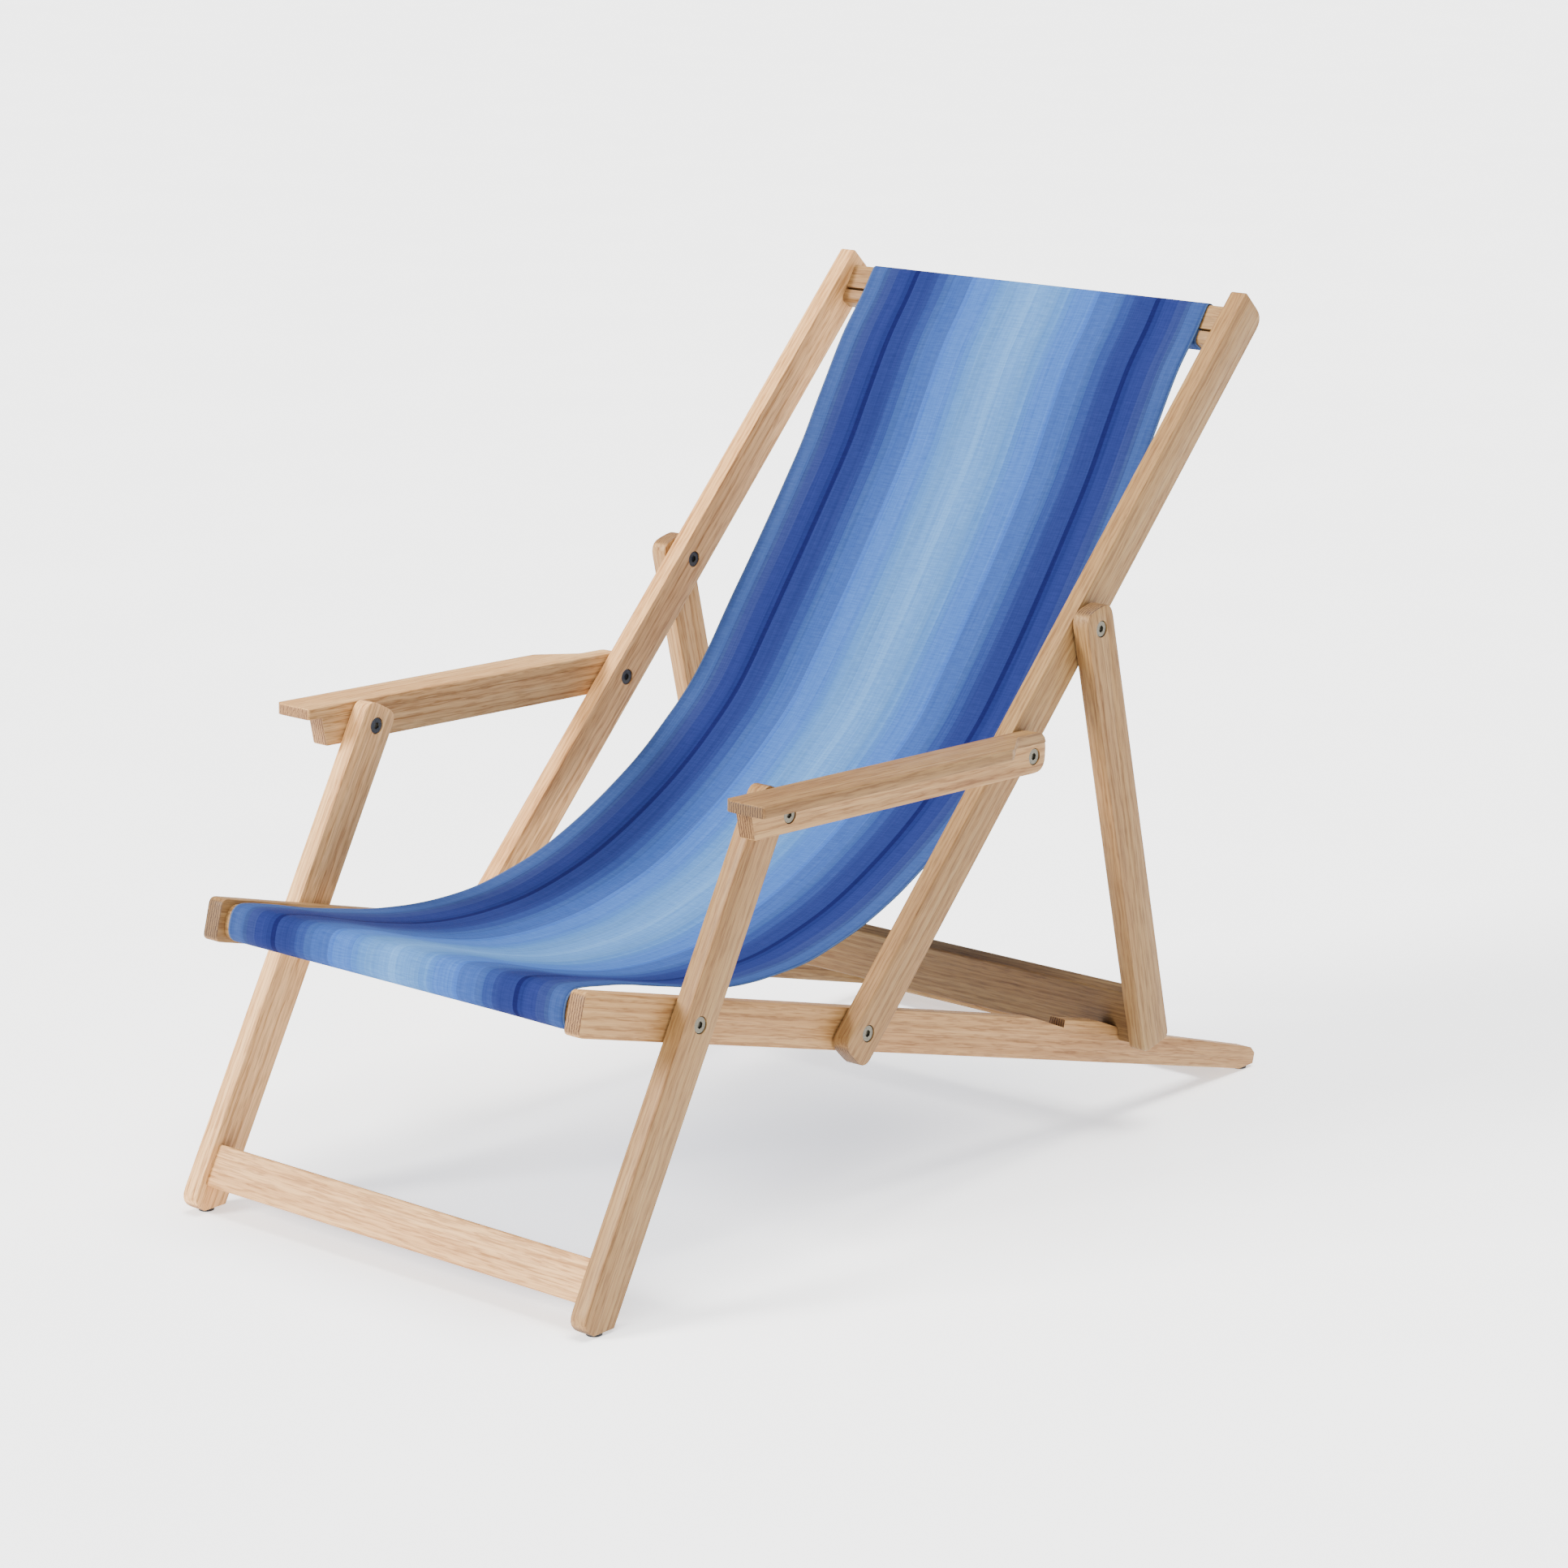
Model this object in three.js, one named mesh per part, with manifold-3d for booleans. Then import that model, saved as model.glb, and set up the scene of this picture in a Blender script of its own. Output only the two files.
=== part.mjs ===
// Folding wooden deck chair with armrests and a cloth sling.
// Millimetres, +Z up, +Y from the front of the chair to its back, +X to the sitter's left.
// The origin is on the floor, in the middle of the chair.
//
// Five frames turn on each other in parallel planes. Seen from the side each is one bar:
// the seat rails slope down to the floor at the back, the back rails pivot on them, the
// front legs pivot near their front, the armrests tie the legs to the back rails, and the
// props hang from the back rails and stand in notches of the seat rails.
// A point of a bar is (u, v): u along the bar from its pivot, v square to it.
import * as THREE from "three";
import { mergeVertices } from "three/addons/utils/BufferGeometryUtils.js";
import Module from "manifold-3d";

const wasm = await Module();
wasm.setup();

// Timber: every bar is a board on edge with eased edges.
const THICK = 20;
const DEPTH = 44;
const HALF = DEPTH / 2;
const EASE = 1.5;
const CLEAR = 0.3;

// Planes: seat rails inside, then back rails and legs, then props and armrests.
const LAYER_GAP = 2;
const SEAT_X = 238;
const BACK_X = SEAT_X + THICK + LAYER_GAP;
const PROP_X = BACK_X + THICK + LAYER_GAP;

// Linkage: seat link + back link = leg link + arm link, so the four bars fold flat.
const SEAT_LINK = 258;
const BACK_LINK = 338;
const ARM_LINK = 380;
const PROP_UP_BACK = 497;
const SEAT_ANGLE = -15;
const BACK_ANGLE = 46;
const ARM_ANGLE = -2;
const PROP_ANGLE = -76.8;
const LEG_PIVOT = [141, 273.3];

// Ends of the bars, measured from their pivots.
const SEAT_FRONT = -145;
const BACK_LOW = -30;
const BACK_TOP = 915;
const LEG_TOP = 22;
const PROP_TOP = -23;
const PROP_LENGTH = 485;

// Feet: trimmed level, each on a nailed glide.
const FLOOR_GAP = 3;
const LEG_FOOT = 28;
const LEG_GLIDE = 17.5;
const SEAT_FOOT = 26;
const GLIDE_R = 8;
const NAIL_R = 1.5;
const NAIL = 12;

// Cross pieces and their tenons.
const TENON = 12;
const CLOTH_BAR = 24;
const FRONT_BAR = { at: [-125, 0], width: 36, nose: 16 };
const TOP_BAR = { at: [884, -6.4], width: 46, tilt: 11, nose: 8 };
const STRETCHER = { u: -263, v: 5, width: 44, thick: 20, tenon: [30, 12] };
const SLAT = { u: 936, v: -13.5, width: 44, thick: 17, tenon: [28, 9] };
const PROP_BOARD = { width: 61, thick: 20, tenon: [40, 12] };
const RAIL_PLAY = 1.2;

// Notches in the seat rails: a long ramp down to a short wall that faces the front.
const NOTCH_WALLS = [616, 737.5];
const RAMP = 57;
const NOTCH_DEPTH = 8.5;
const TOOTH = 9;
const TAIL_START = 12;
const TAIL_END = 3;

// Armrests: a flat board on a rail.
const ARM_REAR = ARM_LINK + 19;
const ARM_UNDER = -17.8;
const ARM_SEAM = 12.5;
const ARM_TOP = 24.2;
const ARM_RAIL_FRONT = -60;
const ARM_RAIL_SLANT = 10;
const ARM_BOARD_FRONT = -75.5;
const ARM_BOARD_WIDTH = 52;
const ARM_NECK = [305, 350];

// Fasteners: a flat-headed bolt in a sleeve nut, with a washer between the bars.
const HEAD_R = 8;
const HEAD = 3;
const HEAD_PLAY = 0.9;
const COUNTERBORE = 4.3;
const SHANK_R = 3;
const SLEEVE_R = 4.5;
const SLEEVE_BORE = 3.4;
const HOLE_R = 5;
const WASHER_R = 9;
const SOCKET_R = 3.9;
const SOCKET = 2.2;
const ROUND = 20;

// Cloth, hem rods and the keyhole slots that hold them.
const CLOTH = 2;
const CLOTH_WIDTH = 462;
const ROD_R = 2.6;
const SLOT_WIDTH = 3;
const SLOT_DEEP = 9;
const SLOT_OFF = 8;
const POCKET_R = 4;
const BAR_ROUND = 7;
const SEAT_SAG = [[73, 313], [162, 290], [255, 273], [350, 271]];
const BACK_SAG = [[362, 272], [470, 300], [590, 362], [705, 446], [815, 565], [915, 695]];
const CLOTH_STEPS = 14;

const ash = new THREE.MeshStandardMaterial({ color: 0xd9b98f, roughness: 0.6, metalness: 0 });
const steel = new THREE.MeshStandardMaterial({ color: 0xa9a49a, roughness: 0.3, metalness: 1 });
const nylon = new THREE.MeshStandardMaterial({ color: 0x1b1b1c, roughness: 0.55, metalness: 0 });
const white = new THREE.MeshStandardMaterial({ color: 0xe6e2d8, roughness: 0.5, metalness: 0 });
const canvas = new THREE.MeshStandardMaterial({ color: 0x4f7fc4, roughness: 0.9, metalness: 0 });

// ---- places in the side plane ---------------------------------------------------------

const radians = THREE.MathUtils.degToRad;

// A bar's place: where its pivot is, as [y, z], and how it leans.
function place(pivot, degrees) {
  return { pivot, angle: radians(degrees) };
}

function toChair({ pivot, angle }, [u, v]) {
  const turned = new THREE.Vector2(u, v).rotateAround(new THREE.Vector2(), angle);
  return [pivot[0] + turned.x, pivot[1] + turned.y];
}

function toBar({ pivot, angle }, [y, z]) {
  const from = new THREE.Vector2(y - pivot[0], z - pivot[1]);
  from.rotateAround(new THREE.Vector2(), -angle);
  return [from.x, from.y];
}

const SEAT = place(LEG_PIVOT, SEAT_ANGLE);
const BACK = place(toChair(SEAT, [SEAT_LINK, 0]), BACK_ANGLE);
const PROP = place(toChair(BACK, [PROP_UP_BACK, 0]), PROP_ANGLE);
const ARM_REAR_PIVOT = toChair(BACK, [BACK_LINK, 0]);
const ARM = place(toChair(place(ARM_REAR_PIVOT, ARM_ANGLE), [-ARM_LINK, 0]), ARM_ANGLE);
const LEG_RISE = [ARM.pivot[0] - LEG_PIVOT[0], ARM.pivot[1] - LEG_PIVOT[1]];
const LEG_LINK = Math.hypot(...LEG_RISE);
const LEG = { pivot: LEG_PIVOT, angle: Math.atan2(LEG_RISE[1], LEG_RISE[0]) };

// ---- geometry helpers -----------------------------------------------------------------

// The side plane's (u, v) becomes the chair's (Y, Z), and the extrusion runs along X.
const SIDE_TO_CHAIR = new THREE.Matrix4().makeBasis(
  new THREE.Vector3(0, 1, 0),
  new THREE.Vector3(0, 0, 1),
  new THREE.Vector3(1, 0, 0),
);

function solidOf(geometry) {
  const flat = geometry.index ? geometry.toNonIndexed() : geometry;
  const bare = new THREE.BufferGeometry();
  bare.setAttribute("position", flat.getAttribute("position"));
  const merged = mergeVertices(bare, 1e-4);
  return new wasm.Manifold(
    new wasm.Mesh({
      numProp: 3,
      vertProperties: merged.attributes.position.array,
      triVerts: new Uint32Array(merged.index.array),
    }),
  );
}

function geometryOf(solid) {
  const made = solid.getMesh();
  const geometry = new THREE.BufferGeometry();
  geometry.setAttribute("position", new THREE.BufferAttribute(made.vertProperties, 3));
  geometry.setIndex(new THREE.BufferAttribute(made.triVerts, 1));
  const flat = geometry.toNonIndexed();
  flat.computeVertexNormals();
  return flat;
}

function cut(geometry, tools) {
  return geometryOf(tools.reduce((left, tool) => left.subtract(solidOf(tool)), solidOf(geometry)));
}

function join(geometry, tools) {
  return geometryOf(tools.reduce((left, tool) => left.add(solidOf(tool)), solidOf(geometry)));
}

function overlap(first, second) {
  return geometryOf(solidOf(first).intersect(solidOf(second)));
}

// Points along corners [u, v, radius], each corner rounded where it has a radius.
function rounded(corners, closed = false) {
  return corners.flatMap(([u, v, radius = 0], i) => {
    const here = new THREE.Vector2(u, v);
    const isEnd = !closed && (i === 0 || i === corners.length - 1);
    if (isEnd || radius === 0) return [here];
    const before = new THREE.Vector2(...corners.at(i - 1)).sub(here).normalize();
    const after = new THREE.Vector2(...corners[(i + 1) % corners.length]).sub(here).normalize();
    const reach = radius / Math.tan(Math.abs(before.angleTo(after)) / 2);
    const start = here.clone().addScaledVector(before, reach);
    const end = here.clone().addScaledVector(after, reach);
    return new THREE.QuadraticBezierCurve(start, here, end).getPoints(5);
  });
}

function extrude(corners, length, ease = 0) {
  return new THREE.ExtrudeGeometry(new THREE.Shape(rounded(corners, true)), {
    depth: length - 2 * ease,
    bevelEnabled: ease > 0,
    bevelThickness: ease,
    bevelSize: ease,
    bevelOffset: -ease,
    bevelSegments: 2,
  }).translate(0, 0, ease);
}

// A board from its side outline, from x to x + thick.
function board(corners, x, thick, ease = EASE) {
  return extrude(corners, thick, ease).applyMatrix4(SIDE_TO_CHAIR).translate(x, 0, 0);
}

function box(x0, x1, u0, u1, v0, v1) {
  const geometry = new THREE.BoxGeometry(x1 - x0, u1 - u0, v1 - v0);
  return geometry.translate((x0 + x1) / 2, (u0 + u1) / 2, (v0 + v1) / 2);
}

// A round bar along X, from x0 to x1, centred at (u, v) in the side plane.
function roundBar(radius, x0, x1, u = 0, v = 0, sides = ROUND) {
  const geometry = new THREE.CylinderGeometry(radius, radius, x1 - x0, sides);
  return geometry.rotateZ(-Math.PI / 2).translate((x0 + x1) / 2, u, v);
}

// Everything a frame carries, set at the frame's place.
function frameAt({ pivot: [y, z], angle }, pieces) {
  const frame = new THREE.Group();
  frame.position.set(0, y, z);
  frame.rotation.x = angle;
  frame.add(...pieces);
  return frame;
}

function piece(name, geometry, material) {
  const mesh = new THREE.Mesh(geometry, material);
  mesh.name = name;
  return mesh;
}

// The same piece on the chair's +X side and, mirrored, on its -X side.
function pair(name, geometry, material) {
  const other = geometryOf(solidOf(geometry).mirror([1, 0, 0]));
  return [
    piece(name + "_left", geometry, material),
    piece(name + "_right", other, material),
  ];
}

// ---- joinery --------------------------------------------------------------------------

function innerPivotHoles(x, u) {
  return [
    roundBar(HOLE_R, x - 1, x + THICK + 1, u),
    roundBar(HEAD_R + HEAD_PLAY, x - 1, x + COUNTERBORE, u),
  ];
}

function outerPivotHoles(x, u) {
  return [
    roundBar(HOLE_R, x - 1, x + THICK + 1, u),
    roundBar(HEAD_R + HEAD_PLAY, x + THICK - COUNTERBORE, x + THICK + 1, u),
  ];
}

function mortise(x, u, v, [du, dv]) {
  const y = du / 2 + CLEAR;
  const z = dv / 2 + CLEAR;
  return box(x - 1, x + TENON + CLEAR, u - y, u + y, v - z, v + z);
}

// A cross piece from -reach to reach that ends in a tenon at each side.
function tenoned(geometry, reach, u, v, [du, dv]) {
  const far = reach + TENON;
  return join(geometry, [box(-far, far, u - du / 2, u + du / 2, v - dv / 2, v + dv / 2)]);
}

// A plain tenoned board across the chair.
function crossBoard(x, { u, v, width, thick, tenon }) {
  const reach = x - CLEAR;
  const corners = [
    [u - width / 2, v - thick / 2, 3],
    [u + width / 2, v - thick / 2, 3],
    [u + width / 2, v + thick / 2, 3],
    [u - width / 2, v + thick / 2, 3],
  ];
  return tenoned(board(corners, -reach, 2 * reach, 0), reach, u, v, tenon);
}

// A bolt, its sleeve nut and a washer through an inner bar at x and the bar outside it.
// Where the pivot is open, bolt and nut stay each in its own bar.
function pivot(name, x, u, open = false) {
  const nutFace = x + COUNTERBORE - CLEAR;
  const innerFace = x + THICK;
  const outerFace = innerFace + LAYER_GAP;
  const boltFace = outerFace + THICK - COUNTERBORE + CLEAR;
  const shankEnd = open ? outerFace + CLEAR : innerFace - THICK / 2;
  const sleeveEnd = open ? innerFace - CLEAR : boltFace - 4;
  const bolt = cut(
    join(roundBar(HEAD_R, boltFace, boltFace + HEAD, u), [roundBar(SHANK_R, shankEnd, boltFace + 1, u)]),
    [roundBar(SOCKET_R, boltFace + HEAD - SOCKET, boltFace + HEAD + 1, u, 0, 6)],
  );
  const nut = cut(
    join(roundBar(HEAD_R, nutFace - HEAD, nutFace, u), [roundBar(SLEEVE_R, nutFace - 1, sleeveEnd, u)]),
    [
      roundBar(SLEEVE_BORE, nutFace + 1, sleeveEnd + 1, u),
      roundBar(SOCKET_R, nutFace - HEAD - 1, nutFace - HEAD + SOCKET, u, 0, 6),
    ],
  );
  const washer = cut(roundBar(WASHER_R, innerFace + CLEAR, outerFace - CLEAR, u), [
    roundBar(HOLE_R, innerFace, outerFace, u),
  ]);
  return {
    bolt: pair(name + "_bolt", bolt, steel),
    nut: pair(name + "_nut", nut, steel),
    washer: pair(name + "_washer", washer, white),
  };
}

function allOf({ bolt, nut, washer }) {
  return [...bolt, ...nut, ...washer];
}

// ---- feet -----------------------------------------------------------------------------

// The level trim of a bar's lower corner: its two corners, and the floor under its glide.
function foot({ pivot: [, z], angle }, run, glideRun) {
  const start = (FLOOR_GAP - z + HALF * Math.cos(angle)) / Math.sin(angle);
  const along = (r) => [start + r * Math.cos(angle), -HALF - r * Math.sin(angle)];
  const [u, v] = along(glideRun);
  const floor = [u - FLOOR_GAP * Math.sin(angle), v - FLOOR_GAP * Math.cos(angle)];
  return { corners: [[start, -HALF, 2.5], [...along(run), 2.5]], floor, angle };
}

// A round post standing on the floor under a foot, in the bar's own directions.
function post({ floor: [u, v], angle }, radius, low, high, x) {
  const geometry = new THREE.CylinderGeometry(radius, radius, high - low, ROUND);
  geometry.rotateX(Math.PI / 2).translate(0, 0, (low + high) / 2);
  return geometry.rotateX(-angle).translate(x, u, v);
}

function glide(under, x) {
  const pad = post(under, GLIDE_R, 0, FLOOR_GAP - CLEAR, x);
  return join(pad, [post(under, NAIL_R, 1, FLOOR_GAP + NAIL, x)]);
}

function nailHole(under, x) {
  return post(under, NAIL_R + CLEAR, FLOOR_GAP - 2, FLOOR_GAP + NAIL + 1, x);
}

// ---- cloth bars -----------------------------------------------------------------------

// A cloth bar has its own place. Its slot is in the face that looks along +v, on the
// side the cloth's end comes round from, and its nose is the rounding of the other face.
const FRONT_BAR_PLACE = place(toChair(SEAT, FRONT_BAR.at), SEAT_ANGLE - 90);
const TOP_BAR_PLACE = place(toChair(BACK, TOP_BAR.at), BACK_ANGLE + TOP_BAR.tilt);

function clothBar({ width, nose }, side, x) {
  const reach = x - CLEAR;
  const half = CLOTH_BAR / 2;
  const corners = [
    [-width / 2, -half, nose],
    [width / 2, -half, nose],
    [width / 2, half, BAR_ROUND],
    [-width / 2, half, BAR_ROUND],
  ];
  const bar = tenoned(board(corners, -reach, 2 * reach, 0), reach, 0, 0, [width - 18, CLOTH_BAR - 12]);
  const slot = -side * SLOT_OFF;
  const far = reach + 1;
  const bottom = half - SLOT_DEEP;
  return cut(bar, [
    box(-reach, reach, slot - SLOT_WIDTH / 2, slot + SLOT_WIDTH / 2, bottom, half + 1),
    roundBar(POCKET_R, -far, far, slot, bottom, 12),
  ]);
}

// The cloth's path from the slot round the bar, along the middle of the cloth.
function wrap(where, { width, nose }, side) {
  const off = CLEAR + CLOTH / 2;
  const end = side * (width / 2 + off);
  const face = CLOTH_BAR / 2 + off;
  const slot = -side * SLOT_OFF;
  const path = [
    [slot, face - SLOT_DEEP + POCKET_R],
    [slot, face, 1.5],
    [-end, face, BAR_ROUND + off],
    [-end, -face, nose + off],
    [end, -face, nose + off],
  ];
  return path.map(([u, v, radius = 0]) => [...toChair(where, [u, v]), radius]);
}

// A strip of cloth, as thick as the cloth, along a path in the side plane.
function strip(path) {
  const middle = rounded(path);
  const side = (sign) =>
    middle.map((point, i) => {
      const back = (middle[i - 1] ?? point).clone();
      const next = (middle[i + 1] ?? point).clone();
      const before = point.clone().sub(back).normalize();
      const after = next.sub(point).normalize();
      const lean = before.clone().add(after).normalize();
      const mitre = Math.max(0.6, Math.abs(lean.dot(i === 0 ? after : before)));
      return [point.x - (sign * lean.y * CLOTH) / 2 / mitre, point.y + (sign * lean.x * CLOTH) / 2 / mitre];
    });
  return board([...side(1), ...side(-1).reverse()], -CLOTH_WIDTH / 2, CLOTH_WIDTH, 0);
}

function sagPoints(corners) {
  const curve = new THREE.SplineCurve(corners.map(([y, z]) => new THREE.Vector2(y, z)));
  return curve.getPoints(CLOTH_STEPS).map(({ x, y }) => [x, y]);
}

// ---- seat frame -----------------------------------------------------------------------

const seatFoot = foot(SEAT, SEAT_FOOT, SEAT_FOOT / 2);
const SEAT_END = seatFoot.corners[1][0];

function notch(wall) {
  const corners = [
    [wall - RAMP, HALF],
    [wall, HALF - NOTCH_DEPTH],
    [wall, HALF + 2],
    [wall - RAMP, HALF + 2],
  ];
  return board(corners, SEAT_X - 1, THICK + 2, 0);
}

function tail() {
  const tooth = NOTCH_WALLS.at(-1) + TOOTH;
  const corners = [
    [tooth, HALF + 2],
    [tooth, HALF],
    [tooth + 8, TAIL_START],
    [SEAT_END - 10, TAIL_END],
    [SEAT_END - 1, TAIL_END - 6],
    [SEAT_END + 9, TAIL_END - 6],
    [SEAT_END + 9, HALF + 2],
  ];
  return board(corners, SEAT_X - 1, THICK + 2, 0);
}

function seatRail() {
  const corners = [
    [SEAT_FRONT, -HALF, 7],
    ...seatFoot.corners,
    [SEAT_END, HALF, 4],
    [SEAT_FRONT, HALF, 8],
  ];
  const frontBar = toBar(SEAT, FRONT_BAR_PLACE.pivot);
  return cut(board(corners, SEAT_X, THICK), [
    ...NOTCH_WALLS.map(notch),
    tail(),
    ...innerPivotHoles(SEAT_X, 0),
    ...innerPivotHoles(SEAT_X, SEAT_LINK),
    mortise(SEAT_X, ...frontBar, [CLOTH_BAR - 12, FRONT_BAR.width - 18]),
    mortise(SEAT_X, SLAT.u, SLAT.v, SLAT.tenon),
    nailHole(seatFoot, SEAT_X + THICK / 2),
  ]);
}

const seatFrame = frameAt(SEAT, [
  ...pair("seat_rail", seatRail(), ash),
  ...pair("seat_glide", glide(seatFoot, SEAT_X + THICK / 2), nylon),
  piece("rear_slat", crossBoard(SEAT_X, SLAT), ash),
  ...allOf(pivot("leg_pivot", SEAT_X, 0)),
  ...allOf(pivot("back_pivot", SEAT_X, SEAT_LINK)),
]);

const frontBarSlot = -1 * -SLOT_OFF;
const frontBarFrame = frameAt(FRONT_BAR_PLACE, [
  piece("front_bar", clothBar(FRONT_BAR, -1, SEAT_X), ash),
  piece(
    "hem_rod_front",
    roundBar(ROD_R, -CLOTH_WIDTH / 2, CLOTH_WIDTH / 2, frontBarSlot, CLOTH_BAR / 2 - SLOT_DEEP, 12),
    white,
  ),
]);

// ---- back frame -----------------------------------------------------------------------

function backRail() {
  const corners = [
    [BACK_LOW, -HALF, 14],
    [BACK_TOP, -HALF, 16],
    [BACK_TOP, HALF, 3],
    [BACK_LOW, HALF, 14],
  ];
  const topBar = mortise(BACK_X, 0, 0, [TOP_BAR.width - 18, CLOTH_BAR - 12]);
  topBar.rotateX(radians(TOP_BAR.tilt)).translate(0, ...TOP_BAR.at);
  return cut(board(corners, BACK_X, THICK), [
    ...outerPivotHoles(BACK_X, 0),
    ...innerPivotHoles(BACK_X, BACK_LINK),
    ...innerPivotHoles(BACK_X, PROP_UP_BACK),
    topBar,
  ]);
}

const armFront = pivot("arm_front", BACK_X, LEG_LINK, true);
const armFrontInArm = pivot("arm_front", BACK_X, 0, true);

const backFrame = frameAt(BACK, [
  ...pair("back_rail", backRail(), ash),
  ...allOf(pivot("arm_rear", BACK_X, BACK_LINK)),
  ...allOf(pivot("prop_pivot", BACK_X, PROP_UP_BACK)),
]);

const topBarFrame = frameAt(TOP_BAR_PLACE, [
  piece("top_bar", clothBar(TOP_BAR, 1, BACK_X), ash),
  piece(
    "hem_rod_top",
    roundBar(ROD_R, -CLOTH_WIDTH / 2, CLOTH_WIDTH / 2, -SLOT_OFF, CLOTH_BAR / 2 - SLOT_DEEP, 12),
    white,
  ),
]);

// ---- front legs -----------------------------------------------------------------------

const legFoot = foot(LEG, -LEG_FOOT, -LEG_GLIDE);

function frontLeg() {
  const [[start], [end, endV]] = legFoot.corners;
  const corners = [
    [LEG_LINK + LEG_TOP, HALF, 14],
    [LEG_LINK + LEG_TOP, -HALF, 14],
    [start, -HALF, 2.5],
    [end, endV, 2.5],
    [end, HALF, 16],
  ];
  return cut(board(corners, BACK_X, THICK), [
    ...outerPivotHoles(BACK_X, 0),
    ...innerPivotHoles(BACK_X, LEG_LINK),
    mortise(BACK_X, STRETCHER.u, STRETCHER.v, STRETCHER.tenon),
    nailHole(legFoot, BACK_X + THICK / 2),
  ]);
}

const frontLegs = frameAt(LEG, [
  ...pair("front_leg", frontLeg(), ash),
  ...pair("leg_glide", glide(legFoot, BACK_X + THICK / 2), nylon),
  piece("front_stretcher", crossBoard(BACK_X, STRETCHER), ash),
  ...armFront.nut,
  ...armFront.washer,
]);

// ---- armrests -------------------------------------------------------------------------

function armSide(front, slant, x, thick, ease) {
  const corners = [
    [front + slant, ARM_UNDER, 3],
    [ARM_REAR, ARM_UNDER, 17],
    [ARM_REAR, ARM_TOP, 17],
    [front, ARM_TOP, 3],
  ];
  return board(corners, x, thick, ease);
}

function armRail() {
  const side = armSide(ARM_RAIL_FRONT, ARM_RAIL_SLANT, PROP_X, THICK, EASE);
  return cut(side, [
    box(PROP_X - 1, PROP_X + THICK + 1, ARM_RAIL_FRONT - 9, ARM_REAR + 9, ARM_SEAM, ARM_TOP + 9),
    ...outerPivotHoles(PROP_X, 0),
    ...outerPivotHoles(PROP_X, ARM_LINK),
  ]);
}

// The board overhangs its rail on the outside and narrows to it behind the elbow.
// Corners go round from the front, towards +X first.
function armBoard(near, far, nearRound, farRound) {
  const neck = Math.sign(far - near) * THICK + near;
  const corners = [
    [near, ARM_BOARD_FRONT, nearRound],
    [far, ARM_BOARD_FRONT, farRound],
    [far, ARM_NECK[0], 20],
    [neck, ARM_NECK[1], 12],
    [neck, ARM_REAR + 1],
    [near, ARM_REAR + 1],
  ];
  const plan = extrude(corners, ARM_TOP - ARM_SEAM + 1).translate(0, 0, ARM_SEAM + CLEAR);
  const x = Math.min(near, far);
  return overlap(plan, armSide(ARM_BOARD_FRONT, 0, x, ARM_BOARD_WIDTH, 2));
}

const FAR_X = PROP_X + ARM_BOARD_WIDTH;
const arms = frameAt(ARM, [
  ...pair("armrest_rail", armRail(), ash),
  piece("armrest_board_left", armBoard(PROP_X, FAR_X, 14, 4), ash),
  piece("armrest_board_right", armBoard(-PROP_X, -FAR_X, 4, 14), ash),
  ...armFrontInArm.bolt,
]);

// ---- props ----------------------------------------------------------------------------

const PROP_BOARD_U = PROP_LENGTH - PROP_BOARD.width / 2;

function propBar() {
  const corners = [
    [PROP_TOP, -HALF, 16],
    [PROP_LENGTH, -HALF, 8],
    [PROP_LENGTH, HALF, 8],
    [PROP_TOP, HALF, 16],
  ];
  return cut(board(corners, PROP_X, THICK), [
    ...outerPivotHoles(PROP_X, 0),
    mortise(PROP_X, PROP_BOARD_U, 0, PROP_BOARD.tenon),
  ]);
}

// The board straddles the seat rails: each cut-out's floor lies on the notch's ramp.
function propBoard() {
  const wall = NOTCH_WALLS.at(-1);
  const ramp = [
    [wall - RAMP, HALF + CLEAR],
    [wall, HALF - NOTCH_DEPTH + CLEAR],
  ];
  const [high, low] = ramp.map((point) => toBar(PROP, toChair(SEAT, point)));
  const slope = (low[0] - high[0]) / (low[1] - high[1]);
  const floorAt = (v) => [high[0] + slope * (v - high[1]), v];
  const far = PROP_BOARD.thick / 2 + 1;
  const corners = [floorAt(-far), floorAt(far), [PROP_LENGTH + 9, far], [PROP_LENGTH + 9, -far]];
  const x = SEAT_X - RAIL_PLAY;
  const wide = THICK + 2 * RAIL_PLAY;
  const plain = crossBoard(PROP_X, { ...PROP_BOARD, u: PROP_BOARD_U, v: 0 });
  return cut(plain, [board(corners, x, wide, 0), board(corners, -x - wide, wide, 0)]);
}

const props = frameAt(PROP, [
  ...pair("prop", propBar(), ash),
  piece("prop_board", propBoard(), ash),
]);

// ---- sling ----------------------------------------------------------------------------

// In front of the top bar the cloth passes over its own end.
function topLead() {
  const off = CLEAR + CLOTH / 2;
  const end = TOP_BAR.width / 2 + off;
  const face = CLOTH_BAR / 2 + off;
  return [
    [...toChair(TOP_BAR_PLACE, [end, face + 1]), BAR_ROUND],
    [...toChair(TOP_BAR_PLACE, [2 - SLOT_OFF, face + CLOTH + 0.6]), 0],
  ];
}

const frontWrap = wrap(FRONT_BAR_PLACE, FRONT_BAR, -1);
const topWrap = wrap(TOP_BAR_PLACE, TOP_BAR, 1);
const slings = [
  piece("sling_seat", strip([...frontWrap, ...sagPoints(SEAT_SAG)]), canvas),
  piece(
    "sling_back",
    strip([...sagPoints(BACK_SAG), ...[...topWrap, ...topLead()].reverse()]),
    canvas,
  ),
];

// ---- the whole chair ------------------------------------------------------------------

const chair = new THREE.Group();
chair.add(seatFrame, frontBarFrame, backFrame, topBarFrame, frontLegs, arms, props, ...slings);
const centre = new THREE.Box3().setFromObject(chair, true).getCenter(new THREE.Vector3());
chair.position.y = -centre.y;

export default chair;
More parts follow.
